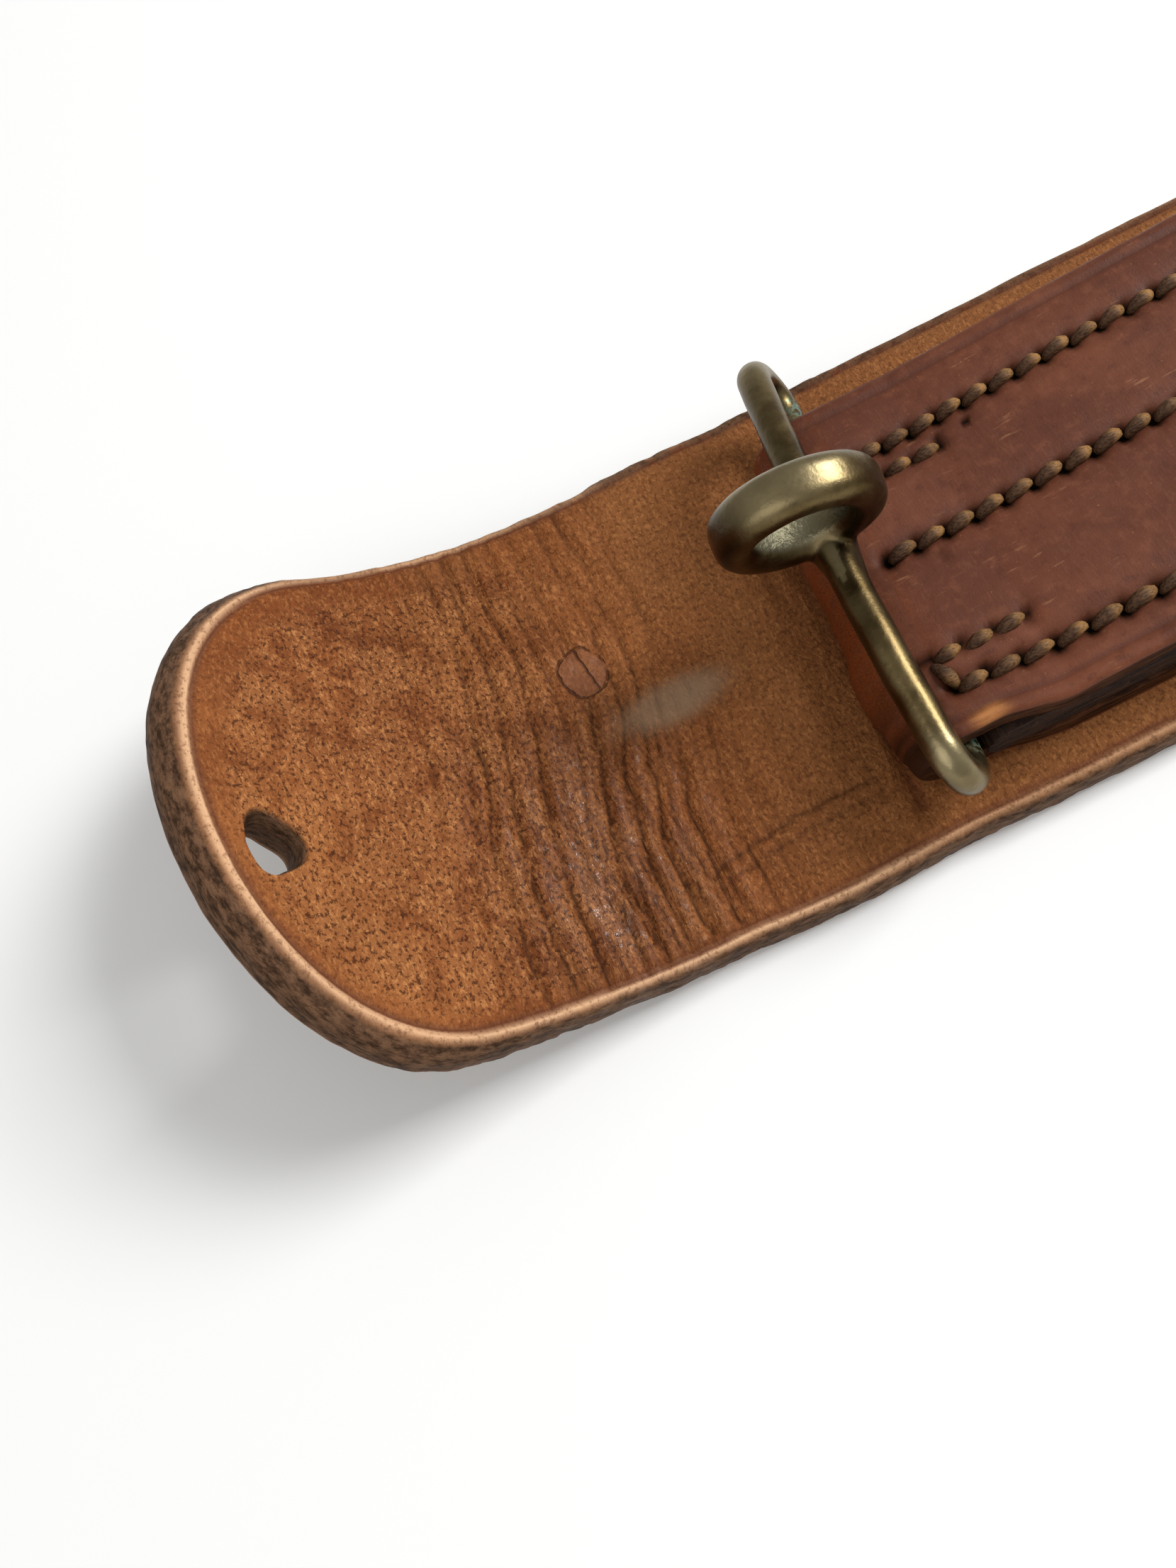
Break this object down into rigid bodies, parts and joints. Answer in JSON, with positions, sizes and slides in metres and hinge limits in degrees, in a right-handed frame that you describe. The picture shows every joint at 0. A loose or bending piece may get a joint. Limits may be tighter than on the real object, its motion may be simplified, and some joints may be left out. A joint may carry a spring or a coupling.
{
  "type": "trainer belly pad",
  "caption": "Padded leather belly pad on a broad belt, with curled end tabs and a hinged brass ring link folded into each end of its outer strap.",
  "frame": {"origin": "on the flat underside, below the middle of the cushion", "axes": "+X along the belt, +Y across it, +Z out of the outer face"},
  "size_m": [0.9772, 0.262, 0.0563],
  "materials": {
    "backing_leather": "worn tan saddle leather, creased, with a dark burnished edge",
    "strap_leather": "dark red-brown waxed bridle leather, scuffed",
    "filler_leather": "built-up leather layers with a rough burnished edge",
    "cover_leather": "soft tan leather, stretched over the stuffing",
    "welt_leather": "rolled dark leather",
    "brass": "old cast brass, dark olive patina with polished high spots",
    "thread": "waxed linen thread, brown with worn golden tops",
    "felt": "felted hair stuffing"
  },
  "bodies": {
    "belt": {"backing_panel": "backing_leather", "top_strap": "strap_leather", "left_filler": "filler_leather", "right_filler": "filler_leather", "cushion_core": "felt", "cushion_cover": "cover_leather", "pad_welt": "welt_leather", "upper_seam": "thread", "middle_seam": "thread", "lower_seam": "thread", "pad_seam": "thread"},
    "left_link": {"left_ring_link": "brass"},
    "right_link": {"right_ring_link": "brass"},
    "left_tab_body": {"left_tab": "backing_leather"},
    "right_tab_body": {"right_tab": "backing_leather"}
  },
  "joints": [
    {"name": "left_link_hinge", "type": "hinge", "parent": "belt", "child": "left_link", "pos_m": [-0.378, -0.0008, 0.01365], "axis": [0.0976, 0.9952, 0], "range_deg": [-46, 46]},
    {"name": "right_link_hinge", "type": "hinge", "parent": "belt", "child": "right_link", "pos_m": [0.378, -0.0008, 0.01365], "axis": [0.0976, -0.9952, 0], "range_deg": [-46, 46]},
    {"name": "left_tab_flex", "type": "hinge", "parent": "belt", "child": "left_tab_body", "pos_m": [-0.4243, 0, 0.0039], "axis": [0, 1, 0], "range_deg": [-24, 20], "stiffness_Nm_per_rad": 0.6},
    {"name": "right_tab_flex", "type": "hinge", "parent": "belt", "child": "right_tab_body", "pos_m": [0.4243, 0, 0.0039], "axis": [0, -1, 0], "range_deg": [-24, 20], "stiffness_Nm_per_rad": 0.6}
  ]
}
